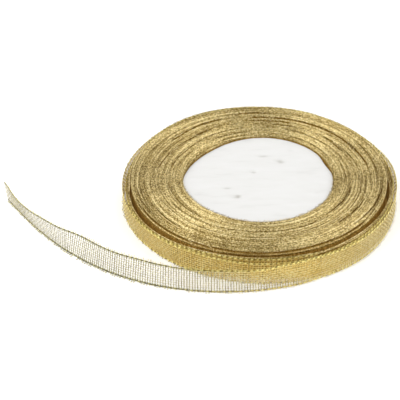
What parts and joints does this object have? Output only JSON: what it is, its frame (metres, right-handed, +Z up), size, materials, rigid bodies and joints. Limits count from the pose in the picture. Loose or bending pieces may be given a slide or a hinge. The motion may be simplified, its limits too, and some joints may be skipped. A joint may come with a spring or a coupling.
{
  "type": "ribbon roll",
  "caption": "Flat flangeless roll of sheer metallic gift ribbon wound on a white foam puck, with loosened outer turns and a trailing free end.",
  "frame": {"origin": "centre of the foam puck's lower face, on the roll's axis, in the plane that the roll lies on", "axes": "+Z up along the roll's axis; the free end leaves the roll at the front (-Y) and trails towards -X"},
  "size_m": [0.1671, 0.12, 0.01],
  "materials": {
    "foam": "matte closed-cell foam",
    "tape": "satin film",
    "gold_web": "sheer metallic weave",
    "gold_cord": "metallic cord"
  },
  "bodies": {
    "roll": {"foam_core": "foam", "start_tape": "tape", "wound_web": "gold_web", "wound_top_edge": "gold_cord", "wound_bottom_edge": "gold_cord"},
    "outer_turn": {"loose_web": "gold_web", "loose_top_edge": "gold_cord", "loose_bottom_edge": "gold_cord"},
    "tail_root": {"root_web": "gold_web", "root_top_edge": "gold_cord", "root_bottom_edge": "gold_cord"},
    "tail_middle": {"middle_web": "gold_web", "middle_top_edge": "gold_cord", "middle_bottom_edge": "gold_cord"},
    "tail_tip": {"tip_web": "gold_web", "tip_top_edge": "gold_cord", "tip_bottom_edge": "gold_cord"}
  },
  "joints": [
    {"name": "unwind", "type": "hinge", "parent": "roll", "child": "outer_turn", "pos_m": [0, 0, 0], "axis": [0, 0, 1], "continuous": true},
    {"name": "tail_swing", "type": "hinge", "parent": "outer_turn", "child": "tail_root", "pos_m": [0.021, -0.05671, 0.005], "axis": [0, 0, 1], "range_deg": [0, 70]},
    {"name": "middle_bend", "type": "hinge", "parent": "tail_root", "child": "tail_middle", "pos_m": [-0.03308, -0.06137, 0.005], "axis": [0, 0, 1], "range_deg": [-10, 60]},
    {"name": "tip_bend", "type": "hinge", "parent": "tail_middle", "child": "tail_tip", "pos_m": [-0.07695, -0.03877, 0.005], "axis": [0, 0, 1], "range_deg": [-35, 60]}
  ]
}
